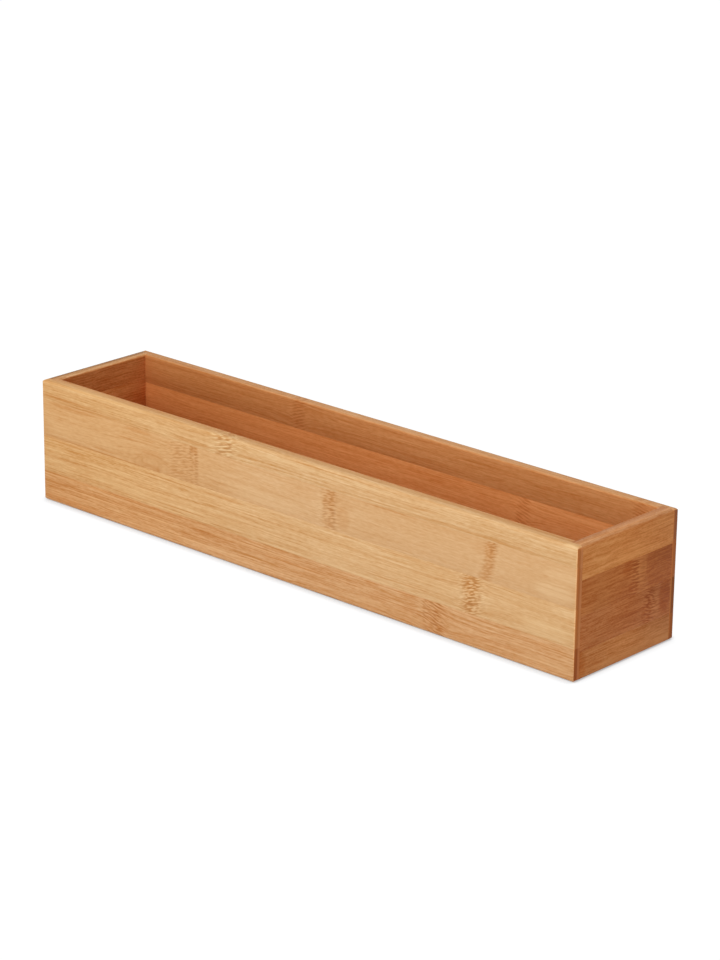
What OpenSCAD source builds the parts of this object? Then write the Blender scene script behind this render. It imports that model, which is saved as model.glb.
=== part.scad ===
// Long lidless organiser box, made of edge-glued bamboo boards.
// Four wall boards are joined by rabbets at the corners and hold a base panel in their grooves.
// Every board is glued up from four strips of bamboo, and each strip is a part of its own.
// The origin is the middle of the underside: +X is to the right, the front is at -Y, +Z is up.
// Lengths are in millimetres.

/* [Overall size] */
// Outer length
length = 378; // [240:1:450]
// Outer width, front to back
width = 79; // [60:1:160]
// Outer height
height = 70; // [45:1:120]

/* [Wall boards] */
// Thickness of the four wall boards
board_t = 7.5; // [6:0.5:12]
// Depth of the corner rabbets and of the grooves for the base, all cut at one setting
cut_depth = 3.5; // [2:0.5:4.5]

/* [Base panel] */
// Thickness of the base panel
panel_t = 4; // [3:0.5:6]
// Height of the panel's underside over the surface that the box stands on
panel_lift = 4; // [3:0.5:10]
// Room left in the groove at each edge of the panel
panel_play = 0.3; // [0.1:0.1:1]
// Room left in the groove over the panel
panel_slack = 0.2; // [0.1:0.1:0.5]

/* [Sanded edges] */
// Radius of the outer edges round the top and the bottom
edge_r = 2.5; // [0.5:0.1:3]
// Radius of the four upright outer corners
corner_r = 1.5; // [0.3:0.1:2]
// Radius of the rim's inner edge
rim_r = 1; // [0.3:0.1:2]

/* [Hidden] */
// Seams between a wall board's strips, as shares of its height from the bottom up
front_board_shares = [0, 0.254, 0.543, 0.843, 1];
back_board_shares = [0, 0.212, 0.487, 0.768, 1];
left_end_board_shares = [0, 0.239, 0.514, 0.797, 1];
right_end_board_shares = [0, 0.217, 0.478, 0.746, 1];
// Seams between the base panel's strips, as shares of its width from the front to the back
base_panel_shares = [0, 0.221, 0.507, 0.779, 1];

// Colours of the strips, in the order of the seams
front_board_colours = [[0.80, 0.58, 0.36], [0.86, 0.68, 0.43], [0.84, 0.66, 0.44], [0.87, 0.69, 0.44]];
back_board_colours = [[0.78, 0.58, 0.37], [0.84, 0.66, 0.44], [0.80, 0.60, 0.38], [0.85, 0.67, 0.43]];
left_end_board_colours = [[0.76, 0.54, 0.33], [0.70, 0.48, 0.29], [0.80, 0.60, 0.38], [0.74, 0.52, 0.32]];
right_end_board_colours = [[0.72, 0.50, 0.30], [0.66, 0.42, 0.25], [0.65, 0.41, 0.24], [0.75, 0.53, 0.32]];
base_panel_colours = [[0.82, 0.64, 0.42], [0.77, 0.57, 0.36], [0.84, 0.67, 0.45], [0.79, 0.60, 0.38]];

// How far a cut or an intersecting block runs past the piece
overrun = 1;
$fn = 48;

// Thickness of the lip that a long board keeps outside its rabbet
lip_t = board_t - cut_depth;
// Space between the wall boards
inner_l = length - 2 * board_t;
inner_w = width - 2 * board_t;
// Length of the end boards, which reach from lip to lip
end_board_l = width - 2 * lip_t;
// Length and width of the space that the grooves give the panel
room_l = inner_l + 2 * cut_depth;
room_w = inner_w + 2 * cut_depth;
// The panel's own length and width
panel_l = room_l - 2 * panel_play;
panel_w = room_w - 2 * panel_play;

tiers = ["bottom", "lower", "upper", "top"];
rows = ["front", "front_middle", "back_middle", "back"];

// A rectangle with round corners, centred on X and standing on Y = 0
module rounded_outline(w, h, r) {
    translate([r - w / 2, 0]) square([w - 2 * r, h]);
    translate([-w / 2, r]) square([w, h - 2 * r]);
    for (x = [r - w / 2, w / 2 - r], y = [r, h - r]) translate([x, y]) circle(r);
}

// The outside of the finished box, with all its outer edges sanded round
module sanded_block() {
    intersection() {
        translate([0, -width / 2, -overrun])
            linear_extrude(height + 2 * overrun) rounded_outline(length, width, corner_r);
        rotate([90, 0, 0])
            linear_extrude(width + 2 * overrun, center = true) rounded_outline(length, height, edge_r);
        rotate([90, 0, 90])
            linear_extrude(length + 2 * overrun, center = true) rounded_outline(width, height, edge_r);
    }
}

// The section of the space between two walls, which widens where the rim's inner edge is round
module opening_section(w) {
    difference() {
        translate([-w / 2 - rim_r, -overrun]) square([w + 2 * rim_r, height + 2 * overrun]);
        for (side = [0, 1]) mirror([side, 0]) {
            translate([w / 2 + rim_r, height - rim_r]) circle(rim_r);
            translate([w / 2, -2 * overrun]) square([rim_r + overrun, height - rim_r + 2 * overrun]);
        }
    }
}

// The space inside the walls, open at the top and below
module opening() {
    intersection() {
        rotate([90, 0, 0]) linear_extrude(width, center = true) opening_section(inner_l);
        rotate([90, 0, 90]) linear_extrude(length, center = true) opening_section(inner_w);
    }
}

// The space that the panel's grooves take out of the four walls
module panel_room() {
    translate([-room_l / 2, -room_w / 2, panel_lift]) cube([room_l, room_w, panel_t + panel_slack]);
}

// The front board from above: its full length, with a rabbet across each end
module long_board_plan() {
    difference() {
        translate([-length / 2 - overrun, -width / 2 - overrun])
            square([length + 2 * overrun, board_t + overrun]);
        for (side = [0, 1]) mirror([side, 0])
            translate([inner_l / 2, lip_t - width / 2]) square([board_t + 2 * overrun, cut_depth + overrun]);
    }
}

// The right-hand end board from above: a plain board between the two lips
module end_board_plan() {
    translate([inner_l / 2, -end_board_l / 2]) square([board_t + overrun, end_board_l]);
}

// A wall board of the given plan, shaped, opened and grooved with the rest of the box
module wall_board() {
    difference() {
        intersection() {
            sanded_block();
            translate([0, 0, -overrun]) linear_extrude(height + 2 * overrun) children();
        }
        opening();
        panel_room();
    }
}

// The slice of a wall board between two of its seams
module strip_of(shares, i) {
    low = shares[i] == 0 ? -overrun : shares[i] * height;
    high = shares[i + 1] == 1 ? height + overrun : shares[i + 1] * height;
    intersection() {
        children();
        translate([-length / 2 - overrun, -width / 2 - overrun, low])
            cube([length + 2 * overrun, width + 2 * overrun, high - low]);
    }
}

module front_board_strip(i) {
    color(front_board_colours[i])
        strip_of(front_board_shares, i) wall_board() long_board_plan();
}

module back_board_strip(i) {
    color(back_board_colours[i])
        strip_of(back_board_shares, i) wall_board() mirror([0, 1]) long_board_plan();
}

module left_end_board_strip(i) {
    color(left_end_board_colours[i])
        strip_of(left_end_board_shares, i) wall_board() mirror([1, 0]) end_board_plan();
}

module right_end_board_strip(i) {
    color(right_end_board_colours[i])
        strip_of(right_end_board_shares, i) wall_board() end_board_plan();
}

// A strip of the base, which lies on the lower side of the grooves
module base_panel_strip(i) {
    low = base_panel_shares[i] * panel_w;
    high = base_panel_shares[i + 1] * panel_w;
    color(base_panel_colours[i])
        translate([-panel_l / 2, low - panel_w / 2, panel_lift]) cube([panel_l, high - low, panel_t]);
}

for (i = [0 : len(tiers) - 1]) {
    front_board_strip(i);
    back_board_strip(i);
    left_end_board_strip(i);
    right_end_board_strip(i);
    base_panel_strip(i);
}
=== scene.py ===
import math

import bmesh
import bpy
from mathutils import Matrix, Vector


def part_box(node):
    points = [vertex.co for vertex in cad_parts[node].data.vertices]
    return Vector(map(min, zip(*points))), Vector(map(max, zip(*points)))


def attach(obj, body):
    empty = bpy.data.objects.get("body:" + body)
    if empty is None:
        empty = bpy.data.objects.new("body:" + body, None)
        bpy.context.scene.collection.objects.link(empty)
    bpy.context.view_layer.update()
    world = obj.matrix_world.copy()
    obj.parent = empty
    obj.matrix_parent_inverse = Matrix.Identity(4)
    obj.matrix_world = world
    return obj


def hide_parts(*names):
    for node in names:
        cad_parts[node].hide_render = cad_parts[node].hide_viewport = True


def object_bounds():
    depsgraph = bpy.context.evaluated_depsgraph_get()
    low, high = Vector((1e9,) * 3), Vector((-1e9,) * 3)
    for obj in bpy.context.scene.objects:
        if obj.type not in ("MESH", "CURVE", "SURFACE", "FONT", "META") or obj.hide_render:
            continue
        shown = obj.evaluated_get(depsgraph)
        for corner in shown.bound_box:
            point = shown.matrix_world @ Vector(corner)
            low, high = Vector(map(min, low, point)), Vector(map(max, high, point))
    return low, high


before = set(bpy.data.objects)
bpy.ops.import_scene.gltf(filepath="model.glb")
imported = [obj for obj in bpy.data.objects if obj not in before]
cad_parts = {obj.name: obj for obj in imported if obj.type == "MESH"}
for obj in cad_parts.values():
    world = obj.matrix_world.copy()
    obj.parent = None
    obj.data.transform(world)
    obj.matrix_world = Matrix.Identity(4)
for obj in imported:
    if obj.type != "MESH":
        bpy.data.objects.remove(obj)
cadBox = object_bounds()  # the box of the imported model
mm = 0.001  # in metres
screen = {"toe": 0.04045, "toeSlope": 12.92, "lift": 0.055, "power": 2.4}  # how a screen shows light
seedStep = (17.3, 31.7, 11.9)  # how far apart the noises of two seeds lie
noiseMean = 0.5
mixSocket = {"factor": 0, "first": 6, "second": 7, "result": 2}  # of a Mix node for colours
unchanged = (1.0, 1.0, 1.0)  # a gain that leaves a colour as it is


def linear(colour, gain=unchanged):
    # a colour as it looks on a screen, turned into light, times a gain for each channel
    lifted = [((c + screen["lift"]) / (1 + screen["lift"])) ** screen["power"] for c in colour]
    light = [c / screen["toeSlope"] if c <= screen["toe"] else high for c, high in zip(colour, lifted)]
    return (*[min(1.0, l * g) for l, g in zip(light, gain)], 1.0)


class Wire:
    # one output of a node, so that sums on a surface are written as sums
    def __init__(self, tree, socket=None, seed=0):
        self.tree = tree
        self.socket = socket
        self.seed = seed

    def node(self, kind, settings, values, output=0):
        made = self.tree.nodes.new(kind)
        for key, value in settings.items():
            setattr(made, key, value)
        for key, value in values.items():
            if isinstance(value, Wire):
                self.tree.links.new(value.socket, made.inputs[key])
            else:
                made.inputs[key].default_value = value
        return Wire(self.tree, made.outputs[output] if len(made.outputs) else None, self.seed)

    def math(self, operation, first, second=0.0):
        return self.node("ShaderNodeMath", {"operation": operation}, {0: first, 1: second})

    def __add__(self, other):
        return self.math("ADD", self, other)

    def __radd__(self, other):
        return self.math("ADD", other, self)

    def __sub__(self, other):
        return self.math("SUBTRACT", self, other)

    def __rsub__(self, other):
        return self.math("SUBTRACT", other, self)

    def __mul__(self, other):
        return self.math("MULTIPLY", self, other)

    def __rmul__(self, other):
        return self.math("MULTIPLY", other, self)

    def __truediv__(self, other):
        return self.math("DIVIDE", self, other)

    def __neg__(self):
        return self.math("MULTIPLY", self, -1.0)

    def __abs__(self):
        return self.math("ABSOLUTE", self)

    def sine(self):
        return self.math("SINE", self)

    def rise(self, low, high):
        # 0 below low, 1 above high and a smooth climb between them
        values = {"Value": self, "From Min": low, "From Max": high}
        return self.node("ShaderNodeMapRange", {"interpolation_type": "SMOOTHSTEP"}, values)

    def limit(self):
        # held between 0 and 1
        return self.math("MINIMUM", self.math("MAXIMUM", self, 0.0), 1.0)

    def blend(self, first, second):
        # two colours, mixed by this wire
        settings = {"data_type": "RGBA", "clamp_factor": True}
        values = {mixSocket["factor"]: self, mixSocket["first"]: first, mixSocket["second"]: second}
        return self.node("ShaderNodeMix", settings, values, output=mixSocket["result"])

    def tint(self, colour, gain):
        # a colour, multiplied by a gain as far as this wire says
        settings = {"data_type": "RGBA", "blend_type": "MULTIPLY", "clamp_factor": True}
        values = {mixSocket["factor"]: self, mixSocket["first"]: colour, mixSocket["second"]: (*gain, 1.0)}
        return self.node("ShaderNodeMix", settings, values, output=mixSocket["result"])

    def spot(self, first, second, third):
        return self.node("ShaderNodeCombineXYZ", {}, {0: first, 1: second, 2: third})

    def noise(self, lengths, detail=1.0, rough=0.5):
        # cloudy noise about zero at this place, whose clouds have these lengths in millimetres
        shift = [self.seed * step for step in seedStep]
        values = {0: self, 1: [1 / length for length in lengths], 2: shift}
        place = self.node("ShaderNodeVectorMath", {"operation": "MULTIPLY_ADD"}, values)
        values = {"Vector": place, "Scale": 1.0, "Detail": detail, "Roughness": rough}
        return self.node("ShaderNodeTexNoise", {}, values) - noiseMean


# Camera, lights and floor
view = {
    "from": (1.07439, -1.16491, 0.60538),  # in metres, like every place without a unit
    "towards": (0.0, 0.01371, 0.04429),
    "rollDegrees": 0.642,
    "lensMm": 120.53,
    "sensorMm": 36.0,  # along the picture's long side
    "nearest": 0.05,  # nothing nearer
    "farthest": 50.0,  # or farther than this is seen
}


def placeCamera():
    data = bpy.data.cameras.new("camera")
    data.lens, data.sensor_width = view["lensMm"], view["sensorMm"]
    data.clip_start, data.clip_end = view["nearest"], view["farthest"]
    camera = bpy.data.objects.new("camera", data)
    bpy.context.scene.collection.objects.link(camera)
    look = Vector(view["towards"]) - Vector(view["from"])
    turn = look.to_track_quat("-Z", "Y").to_matrix().to_4x4()
    roll = Matrix.Rotation(math.radians(view["rollDegrees"]), 4, "Z")
    camera.matrix_world = Matrix.Translation(view["from"]) @ turn @ roll
    bpy.context.scene.camera = camera


studio = {
    "skyStrength": 0.45,
    "keyFrom": (0.2, -2.12, 2.38),
    "keySize": 1.2,
    "keyWatts": 57.0,
    "floorSize": 12.0,
    "floorColour": (0.9, 0.9, 0.9, 1.0),  # as it lights the box
    # and as it is seen, which takes the wood's warmth out of the shadow
    "shadowColour": (0.80, 0.89, 0.97, 1.0),
    # share of plain white in the floor's look, where the rest is the shadow: right beside the box,
    # beside its right end, and away from it
    "whiteLeast": 0.30,
    "whiteRight": 0.70,
    "whiteMost": 0.94,
    # where the share beside the right end starts and is in full, from the box's right side
    "rightFrom": -2 * mm,
    "rightTo": 1 * mm,
    "contact": 6 * mm,  # how far the dark line beside the box reaches
    "contactSamples": 16,
    "openness": (0.45, 0.98),  # how open the floor is where the dark line is darkest and where it ends
    "whiteStrength": 1.05,
}


def seenRays(wire):
    # 1 for rays that look at the surroundings, straight or in a reflection
    kinds = [wire.node("ShaderNodeLightPath", {}, {}, output=name)
             for name in ("Is Camera Ray", "Is Glossy Ray", "Is Transmission Ray")]
    return (kinds[0] + kinds[1] + kinds[2]).limit()


def lightStudio():
    scene = bpy.context.scene
    scene.view_settings.view_transform = "Standard"
    world = bpy.data.worlds.new("studio")
    scene.world = world
    world.use_nodes = True
    tree = world.node_tree
    tree.nodes.clear()
    wire = Wire(tree)
    white = (1.0, 1.0, 1.0, 1.0)
    dim = wire.node("ShaderNodeBackground", {}, {"Color": white, "Strength": studio["skyStrength"]})
    full = wire.node("ShaderNodeBackground", {}, {"Color": white, "Strength": 1.0})
    sky = wire.node("ShaderNodeMixShader", {}, {0: seenRays(wire), 1: dim, 2: full})
    wire.node("ShaderNodeOutputWorld", {}, {"Surface": sky})

    data = bpy.data.lights.new("key", "AREA")
    data.energy, data.size = studio["keyWatts"], studio["keySize"]
    key = bpy.data.objects.new("key", data)
    key.location = studio["keyFrom"]
    key.rotation_euler = (-Vector(studio["keyFrom"])).to_track_quat("-Z", "Y").to_euler()
    scene.collection.objects.link(key)


def layFloor():
    half = studio["floorSize"] / 2
    mesh = bpy.data.meshes.new("floor")
    corners = [(-half, -half, 0), (half, -half, 0), (half, half, 0), (-half, half, 0)]
    mesh.from_pydata(corners, [], [(0, 1, 2, 3)])
    floor = bpy.data.objects.new("floor", mesh)
    bpy.context.scene.collection.objects.link(floor)
    material = bpy.data.materials.new("white paper")
    material.use_nodes = True
    tree = material.node_tree
    tree.nodes.clear()
    wire = Wire(tree)
    seen = seenRays(wire)
    colour = seen.blend(studio["floorColour"], studio["shadowColour"])
    paper = wire.node("ShaderNodeBsdfDiffuse", {}, {"Color": colour})
    glow = wire.node("ShaderNodeEmission", {}, {"Strength": studio["whiteStrength"]})
    settings = {"samples": studio["contactSamples"]}
    values = {"Distance": studio["contact"]}
    openness = wire.node("ShaderNodeAmbientOcclusion", settings, values, output="AO")
    place = wire.node("ShaderNodeTexCoord", {}, {}, output="Object")
    sideways = wire.node("ShaderNodeSeparateXYZ", {}, {0: place})
    least = sideways.rise(cadBox[1][0] + studio["rightFrom"], cadBox[1][0] + studio["rightTo"])
    least = least * (studio["whiteRight"] - studio["whiteLeast"]) + studio["whiteLeast"]
    share = seen * (openness.rise(*studio["openness"]) * (studio["whiteMost"] - least) + least)
    look = wire.node("ShaderNodeMixShader", {}, {0: share, 1: paper, 2: glow})
    wire.node("ShaderNodeOutputMaterial", {}, {"Surface": look})
    mesh.materials.append(material)


print("camera, lights and floor")
placeCamera()
lightStudio()
layFloor()


# Bamboo
bamboo = {
    # the clouds of each noise: their lengths along, across and through the strip, in mm
    "hairs": (32.0, 0.58, 0.58),
    "threads": (60.0, 1.15, 1.15),
    "strands": (130.0, 0.95, 0.95),
    "ribbons": (220.0, 3.8, 4.5),
    "clouds": (80.0, 18.0, 18.0),
    "flecks": (3.6, 0.7, 0.7),
    "swings": (60.0, 14.0, 14.0),
    "ripples": (12.0, 4.0, 4.0),
    "drifts": (5.0, 2.5, 2.5),
    "raggedness": (400.0, 1.0, 1.0),
    "endDots": (9.0, 0.34, 0.34),
    "hairDetail": 3.0,
    "hairRough": 0.6,
    # how far the grain swings and ripples, and how ragged a knuckle's border is, in mm
    "swing": 2.2,
    "ripple": 0.5,
    "ragged": 3.6,
    "drift": 2.5,  # how far the rows of a knuckle's dashes drift, in radians
    "core": 0.5,  # how soft the grain's bend is at the middle of an eye or a knuckle
    "bendStretch": 2.0,  # how much longer than high a knuckle's bend is
    # how much each noise shades the grain, and the shade of plain grain
    "hairShade": 1.75,
    "threadShade": 0.65,
    "ribbonShade": 0.35,
    "fleckShade": 0.4,
    "cloudShade": 0.4,
    "plainShade": 0.5,
    # where each thing starts and is in full, in its own measure
    "edgeZone": (0.5, 1.0),  # a strip's edges, as a share of its half height
    "darkStrand": (0.08, 0.20),
    "paleStrand": (0.10, 0.22),
    "dash": (-0.02, 0.20),
    "lowEndZone": (0.1, -0.8),  # a board's low end, as a share of its half length
    "cornerLean": (0.15, 0.6),  # leans of the surface: at an upright corner,
    "endLean": (0.62, 0.82),  # on an end,
    "innerLean": (0.6, 0.9),  # on an inner face,
    "topLean": (0.4, 0.85),  # on the rim
    "outerLean": (0.1, 0.5),  # and on a rounded outer edge
    # a knuckle's band, its fringe and its dark columns: where each fades, as a share of its width
    "bandFade": (0.3, 1.3),
    "fringeFade": (0.2, 1.2),
    "ridgeFade": (0.2, 1.3),
    "fringeMarks": 0.3,
    "lighter": 0.4,  # how much lighter a knuckle is away from its heavy side
    "ridgeDashes": 4.0,
    "ridgeFill": 0.35,
    "ridgeTint": 0.8,
    # how the threads break up a stain, and how much it swings with them
    "stainThreads": 2.5,
    "stainFill": 0.85,
    "stainSwing": 0.3,
    # end grain
    "skinFade": 0.18,
    "endDot": (-0.04, 0.10),
    "skinShade": 0.85,
    "dotShade": 0.25,
    # the line along the front's rim
    "lineFade": (0.2, 1.2),  # in mm
    "lineThreads": 3.0,
    "lineFill": 0.8,
    "lineZone": (-0.9, 0.1),  # where it starts along the board
    # gains on a strip's tone
    "dark": (0.78, 0.60, 0.38),
    "pale": (1.12, 1.22, 1.38),
    "shine": (1.16, 1.28, 1.42),
    "fleck": (0.56, 0.36, 0.21),
    "glint": (1.40, 1.75, 2.20),
    "endDark": (0.65, 0.33, 0.155),
    "endPale": (0.87, 0.50, 0.32),
    # painted highlight on the rounded upright corners
    "corner": (1.22, 1.18, 1.16),
    "stain": (0.84, 0.66, 0.46),  # on the colour under it
    "roughness": 0.55,
    "hairRoughness": 0.15,
    "markRoughness": 0.12,
    "specular": 0.08,
    "relief": 0.06 * mm,
    "reliefStrength": 0.5,
    # how much each thing stands out in the relief
    "hairRelief": 0.5,
    "threadRelief": 0.6,
    "markRelief": 0.2,
    "glintRelief": 0.1,
}


def knuckle(at, wide=9.0, lean=0.0, curve=0.0, slant=20.0, dashes=(4.4, 0.6), pitch=1.7, even=0.25,
            dark=0.28, pale=0.16, tint=0.38, ridges=(), bend=3.0, heavy=0.0):
    # at: where along the board, in mm from the box's middle, and wide: how far it reaches there, in mm
    # lean: mm sideways for each mm across, and curve: how far its ends lie to one side, in mm
    # dashes: their length and thickness in mm, and slant: their direction in degrees
    # pitch: of the rows that they lie in, in mm, and even: how much they keep to those rows
    # dark and pale: how strong the dashes and the glints between them are
    # tint: how much darker the whole band is
    # ridges: its dark columns, each with its place from the knuckle's middle and its width, both in mm,
    # and its strength
    # bend: how far from its middle the grain bends, in mm
    # heavy: from -1 to 1, the side across where it is darkest
    return {"at": at, "wide": wide, "lean": lean, "curve": curve, "slant": slant, "dashes": dashes,
            "pitch": pitch, "even": even, "dark": dark, "pale": pale, "tint": tint, "ridges": ridges,
            "bend": bend, "heavy": heavy}


def stain(along, across, length, height, amount, soft=0.9):
    # a soft patch or line in the grain, or, at one place on the front's top strip, a painted highlight; a
    # negative amount makes it paler
    # length and height: how far it reaches from its middle each way, in mm
    # soft: how much of it fades out, from 0, with a hard border, to 1, from its middle on
    return {"at": (along, across), "size": (length, height), "amount": amount, "soft": soft}


def eye(along, across, radius, stretch):
    # a place that the fibres swing round: its radius in mm, and how much longer than high it is
    return {"at": (along, across), "radius": radius, "stretch": stretch}


def bambooMaterial(name, look, board, middle, half):
    # middle and half: the strip's middle and half its size along, across and through it, in mm
    material = bpy.data.materials.new(name)
    material.use_nodes = True
    tree = material.node_tree
    tree.nodes.clear()
    wire = Wire(tree, seed=look["seed"])
    tone, contrast, stretch = look["tone"], look["contrast"], board["stretch"]

    def toned(gain):
        return linear(tone, bamboo[gain])

    place = wire.node("ShaderNodeTexCoord", {}, {}, output="Object")
    facing = wire.node("ShaderNodeTexCoord", {}, {}, output="Normal")
    xyz = [wire.node("ShaderNodeSeparateXYZ", {}, {0: place}, output=i) for i in range(3)]
    along, across, through = [xyz[axis] / mm - middle[i] for i, axis in enumerate(board["axes"])]
    lean = [wire.node("ShaderNodeSeparateXYZ", {}, {0: facing}, output=axis) for axis in board["axes"]]
    raw = wire.spot(along / stretch, across, through)

    # the grain swings, ripples and bends round its eyes and knuckles
    sway = raw.noise(bamboo["swings"]) * bamboo["swing"] + raw.noise(bamboo["ripples"]) * bamboo["ripple"]
    bent = across + sway
    bends = [(e["at"][0] - middle[0], e["at"][1] - middle[1], e["radius"], e["stretch"])
             for e in look["eyes"]]
    bends += [(k["at"] - middle[0], 0.0, k["bend"], bamboo["bendStretch"]) for k in look["knuckles"]]
    for eyeAlong, eyeAcross, radius, longer in bends:
        a, b = (along - eyeAlong) / longer, across - eyeAcross
        bent = bent - b * radius ** 2 / (a * a + b * b + bamboo["core"] * radius ** 2)
    grain = wire.spot(along / stretch, bent, through + sway)

    # fibres: fine hairs, threads, soft ribbons, short flecks, and thin dark or pale strands
    hair = grain.noise(bamboo["hairs"], bamboo["hairDetail"], bamboo["hairRough"])
    thread = grain.noise(bamboo["threads"])
    strand = grain.noise(bamboo["strands"])
    fleck = grain.noise(bamboo["flecks"])
    lively = contrast * (1.0 - along / half[0] * look["calm"])
    shade = hair * bamboo["hairShade"] + thread * bamboo["threadShade"]
    shade = shade + grain.noise(bamboo["ribbons"]) * bamboo["ribbonShade"] + fleck * bamboo["fleckShade"]
    shade = shade * lively + fleck * bamboo["fleckShade"]
    shade = shade + raw.noise(bamboo["clouds"]) * bamboo["cloudShade"] + bamboo["plainShade"]
    edge = (abs(across) / half[1]).rise(*bamboo["edgeZone"])
    darkLines = strand.rise(*bamboo["darkStrand"]) * (edge * look["edgeLines"] + look["lines"])
    paleLines = (-strand).rise(*bamboo["paleStrand"]) * look["lines"]

    # stains: soft patches and lines at chosen places
    darker, paler = darkLines, paleLines
    for patch in look["stains"]:
        a = (along - (patch["at"][0] - middle[0])) / patch["size"][0]
        b = (across + sway * bamboo["stainSwing"] - (patch["at"][1] - middle[1])) / patch["size"][1]
        reach = 1.0 - (a * a + b * b).rise(1.0 - patch["soft"], 1.0)
        broken = (thread * bamboo["stainThreads"] + bamboo["stainFill"]).limit()
        reach = reach * broken * abs(patch["amount"])
        if patch["amount"] > 0:
            darker = darker + reach
        else:
            paler = paler + reach

    # knuckles: a ragged band of slanting dashes across the strip at each place in the list, where
    # the marks and the glints start from nothing
    marks, glints = wire.math("ADD", 0.0, 0.0), wire.math("ADD", 0.0, 0.0)
    ragged = raw.noise(bamboo["raggedness"]) * bamboo["ragged"]
    share = across / half[1]
    for mark in look["knuckles"]:
        offset = along - (mark["at"] - middle[0]) - across * mark["lean"] - share * share * mark["curve"]
        frayed = offset - ragged
        inside = 1.0 - (abs(frayed) / (mark["wide"] / 2)).rise(*bamboo["bandFade"])
        fringe = 1.0 - (abs(frayed) / mark["wide"]).rise(*bamboo["fringeFade"])
        weight = (1.0 - abs(share - mark["heavy"]) * bamboo["lighter"]).limit()
        turn = math.radians(mark["slant"])
        row = across * math.cos(turn) - offset * math.sin(turn)
        turned = wire.spot(offset * math.cos(turn) + across * math.sin(turn), row, through)
        drift = turned.noise(bamboo["drifts"], detail=0.0) * bamboo["drift"]
        rows = (row * (math.tau / mark["pitch"]) + drift).sine()
        length, thick = mark["dashes"]
        dash = rows * mark["even"] + turned.noise((length, thick, thick), detail=0.0)
        reach = inside + fringe * bamboo["fringeMarks"]
        marks = marks + reach * dash.rise(*bamboo["dash"]) * weight * mark["dark"]
        glints = glints + fringe * (-dash).rise(*bamboo["dash"]) * mark["pale"]
        darker = darker + inside * mark["tint"]
        for ridgeAt, wide, strength in mark["ridges"]:
            ridge = 1.0 - (abs(frayed - ridgeAt) / wide).rise(*bamboo["ridgeFade"])
            broken = (dash * bamboo["ridgeDashes"] + bamboo["ridgeFill"]).limit()
            marks = marks + ridge * broken * weight * strength
            darker = darker + ridge * weight * strength * bamboo["ridgeTint"]
    marks, glints = marks.limit(), glints.limit()

    colour = shade.limit().blend(toned("dark"), toned("pale"))
    colour = paler.limit().blend(colour, toned("shine"))
    colour = darker.limit().tint(colour, bamboo["stain"])
    colour = glints.blend(colour, toned("glint"))
    colour = marks.blend(colour, toned("fleck"))

    colour = (along / half[0]).rise(*bamboo["lowEndZone"]).tint(colour, board["lowEnd"])
    # painted highlight: the rounded upright corners are lighter than the faces
    colour = abs(lean[0]).rise(*bamboo["cornerLean"]).tint(colour, bamboo["corner"])

    # end grain: dark towards the outer face, with the cut fibres as dots
    skinFrom = board["skinFrom"]
    skin = (through * board["outside"] / half[2]).rise(skinFrom, skinFrom + bamboo["skinFade"])
    dots = wire.spot(along, across, through).noise(bamboo["endDots"]).rise(*bamboo["endDot"])
    endShade = (skin * bamboo["skinShade"] + dots * bamboo["dotShade"]).limit()
    endColour = endShade.blend(toned("endPale"), toned("endDark"))
    endColour = skin.tint(endColour, look["skin"])
    colour = abs(lean[0]).rise(*bamboo["endLean"]).blend(colour, endColour)

    # the inner face, the rim and the outer edges each get a gain of their own, which is painted light and
    # shade: painted shade on the inner face, painted shade and a painted sheen on the rim, and painted
    # shade on the rounded outer edges
    outward = lean[2] * board["outside"]
    # painted shade: the inner face is darker and oranger, as the inside of the box lies in shade
    colour = (-outward).rise(*bamboo["innerLean"]).tint(colour, board["inner"])
    # painted light and shade on the rim: its colour is set to how the top is lit, with a painted sheen
    top = lean[1].rise(*bamboo["topLean"])
    outer = (through * board["outside"] / half[2] + 1.0).rise(0.0, 2.0)  # 1 at the outer face
    colour = (top * (1.0 - outer)).tint(colour, board["rim"][0])
    colour = (top * outer).tint(colour, board["rim"][1])
    line = 1.0 - abs(through - board["rimLine"]["at"]).rise(*bamboo["lineFade"])
    line = line * (thread * bamboo["lineThreads"] + bamboo["lineFill"]).limit()
    line = line * (along / half[0]).rise(*bamboo["lineZone"])
    colour = (top * line).tint(colour, board["rimLine"]["gain"])
    # painted shade: the rounded outer edges of the back and end boards are darker, as they face away from
    # the light
    shadedOuterEdge = (lean[1] + abs(lean[0])) * outward
    colour = shadedOuterEdge.rise(*bamboo["outerLean"]).tint(colour, board["outerEdgeShade"])

    rough = hair * bamboo["hairRoughness"] + marks * bamboo["markRoughness"] + bamboo["roughness"]
    height = hair * bamboo["hairRelief"] + thread * bamboo["threadRelief"]
    height = height - marks * bamboo["markRelief"] + glints * bamboo["glintRelief"]
    values = {"Strength": bamboo["reliefStrength"], "Distance": bamboo["relief"], "Height": height}
    normal = wire.node("ShaderNodeBump", {}, values)
    values = {"Base Color": colour, "Roughness": rough, "Normal": normal}
    values["Specular IOR Level"] = bamboo["specular"]
    surface = wire.node("ShaderNodeBsdfPrincipled", {}, values)
    wire.node("ShaderNodeOutputMaterial", {}, {"Surface": surface})
    return material


# Strips
arris = {
    "width": 0.09 * mm,  # how far the sharp edges are taken off, so that each joint shows as a hairline
    "seamWidth": 0.04 * mm,  # and the edges along a board, where its strips are glued
    "segments": 2,
    "alongShare": 0.9,  # an edge runs along the board if this share of its direction does
    "sharpDegrees": 50.0,
    "smoothDegrees": 35.0,
    "flatDegrees": 0.5,  # faces that meet at less than this are one flat face
    "weld": 0.001 * mm,
}


def shareAlong(edge, axis):
    return abs((edge.verts[1].co - edge.verts[0].co).normalized()[axis])


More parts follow.
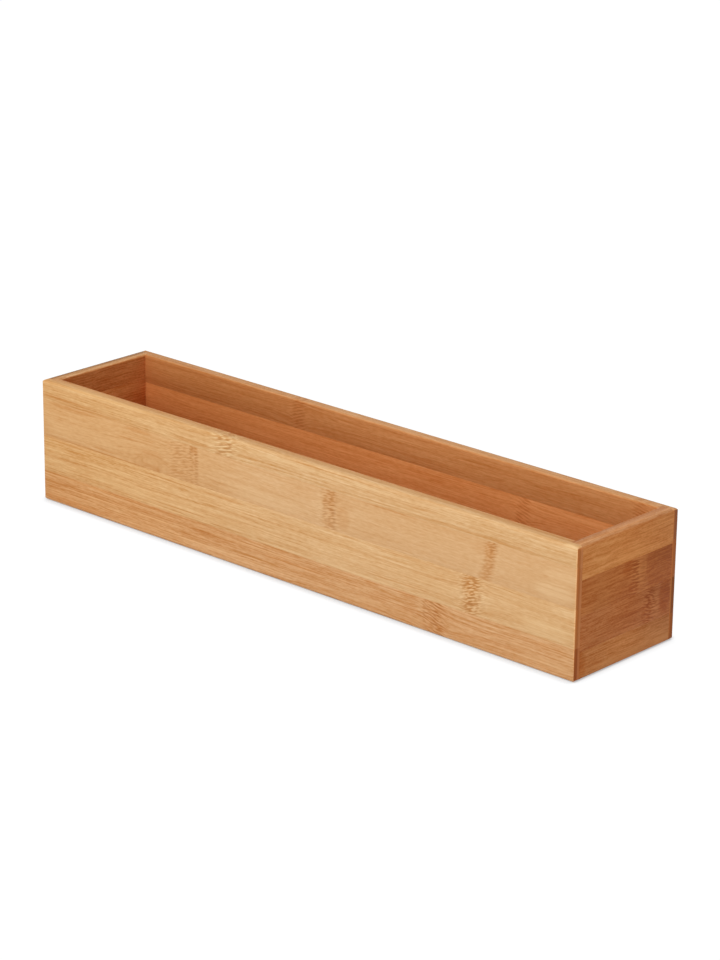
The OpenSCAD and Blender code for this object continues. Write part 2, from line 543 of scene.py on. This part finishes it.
def sandedMesh(node, name, lengthAxis):
    # the strip's own mesh: flat faces made whole, and every sharp edge taken off by a hair
    mesh = bpy.data.meshes.new(name)
    work = bmesh.new()
    work.from_mesh(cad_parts[node].data)
    bmesh.ops.remove_doubles(work, verts=work.verts, dist=arris["weld"])
    bmesh.ops.dissolve_limit(work, angle_limit=math.radians(arris["flatDegrees"]), verts=work.verts,
                             edges=work.edges, use_dissolve_boundaries=False)
    sharpest = math.radians(arris["sharpDegrees"])
    for width, alongToo in ((arris["width"], False), (arris["seamWidth"], True)):
        sharp = [edge for edge in work.edges if edge.is_manifold and edge.calc_face_angle(0) > sharpest
                 and (alongToo or shareAlong(edge, lengthAxis) < arris["alongShare"])]
        bmesh.ops.bevel(work, geom=sharp, offset=width, segments=arris["segments"], profile=0.5,
                        affect="EDGES", clamp_overlap=True, harden_normals=False)
        bmesh.ops.remove_doubles(work, verts=work.verts, dist=arris["weld"])
    for face in work.faces:
        face.smooth = True
    work.to_mesh(mesh)
    work.free()
    mesh.set_sharp_from_angle(angle=math.radians(arris["smoothDegrees"]))
    return mesh


def makeStrip(board, tier, look):
    node = f"{board['node']}_{tier}_strip"
    low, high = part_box(node)
    middle = [(low[a] + high[a]) / 2 / mm for a in board["axes"]]
    half = [(high[a] - low[a]) / 2 / mm for a in board["axes"]]
    name = node.replace("_", ".")
    piece = bpy.data.objects.new(name, sandedMesh(node, name, board["axes"][0]))
    bpy.context.scene.collection.objects.link(piece)
    piece.data.materials.clear()
    piece.data.materials.append(bambooMaterial("bamboo " + name, look, board, middle, half))
    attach(piece, "root")
    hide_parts(node)


def strip(tone, seed, contrast=1.0, lines=0.3, edgeLines=0.3, knuckles=(), stains=(), eyes=(), calm=0.0,
          skin=unchanged):
    # tone: its colour as it looks on a screen, and seed: which of the noises it has
    # contrast: how much its fibres stand out
    # lines: how strong its thin dark and pale lines are, and edgeLines: added to the dark ones at its edges
    # calm: how much plainer it is towards the high end of the board
    # skin: a gain on the dark part of its end grain
    return {"tone": tone, "seed": seed, "contrast": contrast, "lines": lines, "edgeLines": edgeLines,
            "knuckles": knuckles, "stains": stains, "eyes": eyes, "calm": calm, "skin": skin}


# the places below are in mm: along a board from the box's middle, and across it from the floor up
frontBoard = {
    "node": "front_board",
    "axes": (0, 2, 1),  # along, across and through the board
    "outside": -1,  # 1 if its outer face is at the high end of the third axis, else -1
    "stretch": 1.0,  # how much longer its grain is drawn
    "lowEnd": (0.99, 0.92, 0.80),  # a gain on its colour at the low end of the first axis
    # painted shade on the inner face, darker and oranger, as the inside of the box lies in shade
    "inner": (0.86, 0.72, 0.55),  # a gain on its inner face
    # painted light and shade on the rim: its inside half is darker and oranger, as the top is lit less than
    # the front
    "rim": ((0.90, 0.745, 0.60), (1.00, 0.97, 0.93)),  # gains on its top, inside and outside
    "rimLine": {"at": 0.7, "gain": (0.88, 0.83, 0.74)},  # a line along its top, in mm from its middle
    "skinFrom": 0.28,  # share of its half thickness at which the end grain turns dark
    # painted shade on the rounded outer edges that face away from the light; none on this board
    "outerEdgeShade": unchanged,  # a gain on its rounded outer edges
    "strips": {
        "bottom": strip(
            (0.823, 0.639, 0.449), seed=1, contrast=1.15, lines=0.4, edgeLines=0.2, calm=0.15,
            skin=(0.8, 0.72, 0.66),
            knuckles=[
                knuckle(99.5, 14.0, slant=-13.0, dashes=(4.0, 0.75), even=0.12, dark=0.5, pale=0.2,
                        tint=0.55, heavy=0.4, ridges=((-6.5, 1.2, 0.2), (1.5, 1.8, 0.16))),
            ],
            stains=[
                stain(-165, 3.4, 42, 1.8, 0.7), stain(-120, 16.6, 80, 0.9, 0.7),
                stain(-25, 16.6, 45, 0.7, 0.6), stain(-60, 13.0, 150, 5.0, 0.16),
                stain(0, 13.0, 60, 4.0, 0.28), stain(-172, 9.0, 26, 9.0, 0.22),
                stain(-115, 4.5, 24, 4.5, 0.12), stain(176, 13, 14, 5, 0.22),
                stain(107, 13, 9, 4.5, 0.25), stain(57, 16, 6, 1.8, 0.6), stain(62, 10.5, 9, 3.5, 0.3),
                stain(83, 16.3, 8, 1.6, 0.6), stain(85, 9, 9, 2.5, 0.5), stain(84, 3.5, 11, 2.2, 0.3),
                stain(106, 15.5, 5, 2.2, 0.5), stain(105, 4.8, 5, 2.0, 0.7), stain(140, 7, 26, 1.3, 0.5),
                stain(165, 14.5, 24, 1.6, 0.6), stain(68, 4.5, 42, 4.0, -0.32),
                stain(172, 4.5, 22, 4.0, -0.35), stain(-130, 10.8, 60, 0.45, -0.7),
                stain(-60, 5.6, 60, 0.45, -0.6), stain(-20, 14.2, 45, 0.45, -0.6),
                stain(0, 12.0, 30, 0.4, 0.6),
            ],
        ),
        "lower": strip(
            (0.859, 0.698, 0.499), seed=2, contrast=0.82, lines=0.25, edgeLines=0.2, calm=0.3,
            knuckles=[
                knuckle(123.5, 11.5, slant=20.0, dashes=(2.6, 0.58), pitch=1.7, even=0.07, dark=0.5,
                        pale=0.3, tint=0.72, heavy=0.3, ridges=((-0.8, 2.2, 0.14),)),
                knuckle(125.0, 24.0, slant=2.0, dashes=(7.0, 0.6), even=0.1, dark=0.12, pale=0.05,
                        tint=0.05, bend=0.5),
            ],
            stains=[
                stain(-48, 35.9, 22, 1.2, 0.7), stain(-85, 21.3, 30, 0.45, 0.7),
                stain(0, 31.2, 90, 0.4, 0.6), stain(75, 21.6, 32, 0.45, 0.7),
                stain(85, 36.4, 38, 0.7, 0.6), stain(0, 18.8, 150, 0.5, -0.6),
                stain(-160, 22.3, 16, 0.4, 0.6), stain(-165, 36.5, 20, 0.7, 0.5),
                stain(-88, 24.9, 34, 0.35, 0.5), stain(-90, 23.0, 140, 5.5, -0.22),
                stain(-180, 32.0, 16, 5.5, -0.25), stain(172, 23.0, 22, 6.0, -0.4),
                stain(112, 32.0, 16, 5.5, 0.2), stain(126, 33.5, 11, 5.0, 0.25),
            ],
        ),
        "upper": strip(
            (0.858, 0.692, 0.4995), seed=3, contrast=0.42, lines=0.05, edgeLines=0.2, calm=0.35,
            knuckles=[
                knuckle(-79.5, 21.0, slant=13.0, dashes=(4.0, 0.65), even=0.1, dark=0.26, pale=0.15,
                        tint=0.26, ridges=((7.3, 1.5, 0.32), (11.0, 1.6, 0.46)), heavy=0.6, bend=1.5),
                knuckle(27.5, 12.0, slant=8.0, dashes=(3.2, 0.62), pitch=1.8, even=0.06, dark=0.28,
                        pale=0.17, tint=0.36, ridges=((2.0, 2.8, 0.32), (-3.2, 1.8, 0.12)), heavy=0.2,
                        bend=2.0),
                knuckle(134.6, 8.5, lean=0.2, curve=-1.0, slant=12.0, dashes=(2.4, 0.58), pitch=1.8,
                        even=0.1, dark=0.3, pale=0.15, tint=0.65, heavy=0.9, ridges=((0.8, 1.6, 0.16),),
                        bend=2.0),
            ],
            stains=[
                stain(-135, 38.4, 60, 0.5, 0.9), stain(-100, 39.8, 10, 1.6, 0.6),
                stain(-138, 40.6, 14, 0.8, 0.6), stain(-165, 57.6, 24, 1.6, 0.5),
                stain(-113, 57.8, 13, 1.4, 0.6), stain(-120, 51.8, 14, 0.7, 0.5),
                stain(-101, 47.8, 11, 2.2, 0.45), stain(-70, 57, 4, 3, 0.5), stain(37, 46, 6, 8, 0.5),
                stain(67, 58.4, 26, 0.5, 0.7), stain(-20, 43.0, 40, 5.0, -0.25),
                stain(-175, 43, 16, 5.0, -0.2), stain(176, 44.0, 16, 6.0, -0.5),
                stain(180, 53.0, 14, 5.0, -0.3), stain(33, 53.0, 14, 6.0, 0.25),
                stain(8, 53.0, 14, 6.0, 0.15), stain(-105, 43.0, 14, 5.0, 0.12),
                stain(131, 54.0, 10, 4.5, 0.3),
            ],
            eyes=[eye(-103, 40.5, 6.5, 2.4)],
        ),
        "top": strip(
            (0.881, 0.72, 0.519), seed=4, contrast=0.85, lines=0.2, edgeLines=0.3, calm=0.1,
            knuckles=[
                knuckle(-48.0, 13.0, slant=11.0, dashes=(4.4, 0.62), pitch=1.6, even=0.1, dark=0.34,
                        pale=0.42, tint=0.36, ridges=((-2.5, 1.6, 0.08), (4.5, 1.6, 0.22))),
            ],
            stains=[
                stain(-175, 61.7, 26, 0.8, 0.6), stain(-178, 65.8, 30, 0.4, 0.5),
                stain(-70, 61.2, 24, 0.6, 0.7), stain(-14, 60.9, 16, 0.6, 0.6),
                stain(125, 60.3, 70, 0.8, 0.6), stain(80, 64.2, 40, 0.5, 0.5),
                stain(60, 68.6, 70, 0.5, 0.5), stain(20, 66.8, 90, 1.0, -0.4),
                # stain(184.5, 68.8, ...) is a painted highlight at the top of the front's right corner
                stain(184.5, 68.8, 6, 1.5, -0.9), stain(-140, 69.2, 60, 1.0, -0.45),
                stain(-162, 61.0, 34, 3.0, 0.34), stain(80, 66.0, 30, 2.5, 0.25),
                stain(-10, 66.0, 30, 2.5, -0.2), stain(36, 61.5, 20, 3.0, 0.2),
                stain(-175, 66.5, 20, 2.5, -0.15),
            ],
        ),
    },
}
backBoard = {
    "node": "back_board",
    "axes": (0, 2, 1),
    "outside": 1,
    "stretch": 1.0,
    "lowEnd": (0.92, 0.86, 0.78),
    "inner": (1.0, 0.72, 0.56),
    # painted light and shade on the rim, set to how its top is lit
    "rim": ((0.98, 0.83, 0.80), (0.86, 0.78, 0.84)),
    "rimLine": {"at": 0.0, "gain": unchanged},
    "skinFrom": 0.0,
    "outerEdgeShade": (0.74, 0.68, 0.66),
    "strips": {
        "bottom": strip(
            (0.81, 0.61, 0.4), seed=5, contrast=1.0, lines=0.4, edgeLines=0.3, skin=(0.9, 1.0, 1.3),
            knuckles=[knuckle(-131.0, 11.0, lean=0.1, slant=-24.0)],
            stains=[stain(60, 12, 50, 1.0, 0.5), stain(-20, 4, 30, 2.0, 0.4)],
        ),
        "lower": strip(
            (0.845, 0.682, 0.475), seed=6, contrast=0.7, lines=0.2, edgeLines=0.3, skin=(0.64, 0.6, 0.7),
            knuckles=[knuckle(-6.0, 10.0, lean=-0.15, ridges=((3.0, 1.8, 0.25),))],
            stains=[stain(90, 31, 60, 0.6, 0.5)],
            eyes=[eye(24, 24, 6.0, 2.6)],
        ),
        "upper": strip(
            (0.855, 0.65, 0.435), seed=7, contrast=0.8, lines=0.3, edgeLines=0.3, skin=(0.94, 1.05, 1.4),
            knuckles=[knuckle(96.0, 9.0, lean=0.2, slant=-16.0)],
            stains=[stain(-70, 38, 60, 0.7, 0.5)],
        ),
        "top": strip(
            (0.865, 0.69, 0.475), seed=8, contrast=0.8, lines=0.25, edgeLines=0.3,
            skin=(0.72, 0.76, 1.25),
            knuckles=[knuckle(-62.0, 10.0), knuckle(171.0, 9.0, slant=-12.0)],
            stains=[stain(20, 58, 60, 0.6, 0.5)],
        ),
    },
}
leftEndBoard = {
    "node": "left_end_board",
    "axes": (1, 2, 0),
    "outside": -1,
    "stretch": 0.45,
    "lowEnd": unchanged,
    "inner": (1.04, 0.71, 0.53),
    # painted light and shade on the rim: paler and bluer on the inside half, a painted sheen, and much
    # darker on the outside half, painted shade on the rounded edge that faces away from the light
    "rim": ((1.10, 1.08, 1.20), (0.36, 0.28, 0.22)),
    "rimLine": {"at": 0.0, "gain": unchanged},
    "skinFrom": 0.28,
    "outerEdgeShade": (0.74, 0.68, 0.66),
    "strips": {
        "bottom": strip((0.81, 0.59, 0.38), seed=9, contrast=1.5, lines=0.4),
        "lower": strip(
            (0.775, 0.53, 0.32), seed=10, contrast=1.5, lines=0.3, edgeLines=0.3,
            knuckles=[knuckle(-14.0, 9.0, lean=0.1)],
            stains=[stain(18, 28, 14, 8, 0.4)],
        ),
        "upper": strip((0.84, 0.65, 0.43), seed=11, contrast=1.4, lines=0.3, edgeLines=0.3),
        "top": strip((0.83, 0.63, 0.41), seed=12, contrast=1.4, lines=0.3, edgeLines=0.3),
    },
}
# this end's strips have darker, redder tones than the other boards: partly painted shade, as this end faces
# away from the key light
rightEndBoard = {
    "node": "right_end_board",
    "axes": (1, 2, 0),
    "outside": 1,
    "stretch": 0.45,
    "lowEnd": (0.96, 1.02, 1.10),
    "inner": (0.86, 0.72, 0.55),
    # painted light on the rim: its gains take the redness of this end's tones back out, and the outside
    # half is paler and bluer, a painted sheen
    "rim": ((0.71, 0.75, 1.00), (1.04, 1.30, 1.90)),
    "rimLine": {"at": 0.0, "gain": unchanged},
    "skinFrom": 0.28,
    "outerEdgeShade": (0.84, 0.78, 0.76),
    "strips": {
        "bottom": strip(
            (0.815, 0.536, 0.307), seed=13, contrast=1.4, lines=0.3, edgeLines=0.3,
            stains=[
                stain(-36.5, 8, 7.5, 14, 1.0), stain(-38, 8, 5, 14, 0.4), stain(28, 12, 12, 4, 0.1),
                stain(5, 3.5, 32, 4.0, -0.5), stain(-28, 6.0, 14, 7.0, 0.42),
                stain(30, 4.0, 9, 4.5, -0.65),
            ],
        ),
        "lower": strip(
            (0.763, 0.464, 0.253), seed=14, contrast=1.8, lines=0.4, edgeLines=0.3,
            knuckles=[
                knuckle(19.0, 8.0, slant=-12.0, dashes=(3.0, 0.66), even=0.1, dark=0.52, pale=0.4,
                        tint=0.3, heavy=0.5, bend=1.5),
            ],
            stains=[
                stain(17.2, 26.5, 5.0, 9, 0.7), stain(16, 19.5, 5.0, 6, 1.0),
                stain(30.6, 26, 5.4, 12, 1.1, soft=0.8), stain(24, 22, 2.2, 10, -0.2, soft=0.6),
                stain(6, 27, 14, 8, 0.3), stain(-20, 19, 16, 4.5, -0.2),
            ],
        ),
        "upper": strip(
            (0.757, 0.45, 0.224), seed=15, contrast=1.7, lines=0.4, edgeLines=0.3,
            knuckles=[
                knuckle(6.2, 5.5, slant=-4.0, dashes=(4.2, 0.66), pitch=1.9, even=0.24, dark=0.28,
                        pale=0.5, tint=0.0, heavy=0.3, bend=1.0),
                knuckle(12.0, 5.0, slant=-12.0, dashes=(6.0, 0.6), pitch=2.2, dark=0.16, pale=0.3,
                        tint=0.0, bend=0.5),
            ],
            stains=[
                stain(2.5, 48, 8, 6, 1.0), stain(5.5, 37, 5, 6, 1.1),
                stain(26, 46, 11.3, 17, 0.5, soft=0.16), stain(11.8, 46, 3.2, 10, -0.7, soft=0.4),
                stain(-22, 37, 15, 4.5, -0.28), stain(-23, 47.5, 19, 5.5, -0.38),
                stain(-1, 37, 8, 4.5, 0.4),
            ],
        ),
        "top": strip(
            (0.879, 0.579, 0.318), seed=16, contrast=1.2, lines=0.4, edgeLines=0.3,
            stains=[
                stain(-20, 58.3, 14, 1.0, -0.4), stain(4, 65.5, 6, 0.8, 0.5),
                stain(2, 56.0, 14, 4.0, -0.4), stain(-33, 63, 7, 7, 0.3),
            ],
        ),
    },
}
basePanel = {
    "node": "base_panel",
    "axes": (0, 1, 2),
    "outside": -1,
    "stretch": 1.0,
    "lowEnd": (1.0, 0.96, 0.90),
    "inner": (0.9, 0.8, 0.68),
    "rim": (unchanged, unchanged),
    "rimLine": {"at": 0.0, "gain": unchanged},
    "skinFrom": 0.28,
    "outerEdgeShade": unchanged,
    "strips": {
        "front": strip(
            (0.85, 0.67, 0.455), seed=17, contrast=0.8, lines=0.3, edgeLines=0.3,
            knuckles=[knuckle(-60.0)],
        ),
        "front_middle": strip(
            (0.81, 0.61, 0.395), seed=18, contrast=1.0, lines=0.4, edgeLines=0.3,
            knuckles=[knuckle(82.0, 10.0, lean=0.1)],
        ),
        "back_middle": strip(
            (0.86, 0.685, 0.475), seed=19, contrast=0.6, lines=0.2, edgeLines=0.3,
            knuckles=[knuckle(-118.0, lean=-0.1, slant=-20.0)],
        ),
        "back": strip(
            (0.83, 0.64, 0.42), seed=20, contrast=0.9, lines=0.3, edgeLines=0.3,
            knuckles=[knuckle(24.0)],
        ),
    },
}

for board in (frontBoard, backBoard, leftEndBoard, rightEndBoard, basePanel):
    for tier, look in board["strips"].items():
        makeStrip(board, tier, look)
    print("strips of the", board["node"].replace("_", " "))
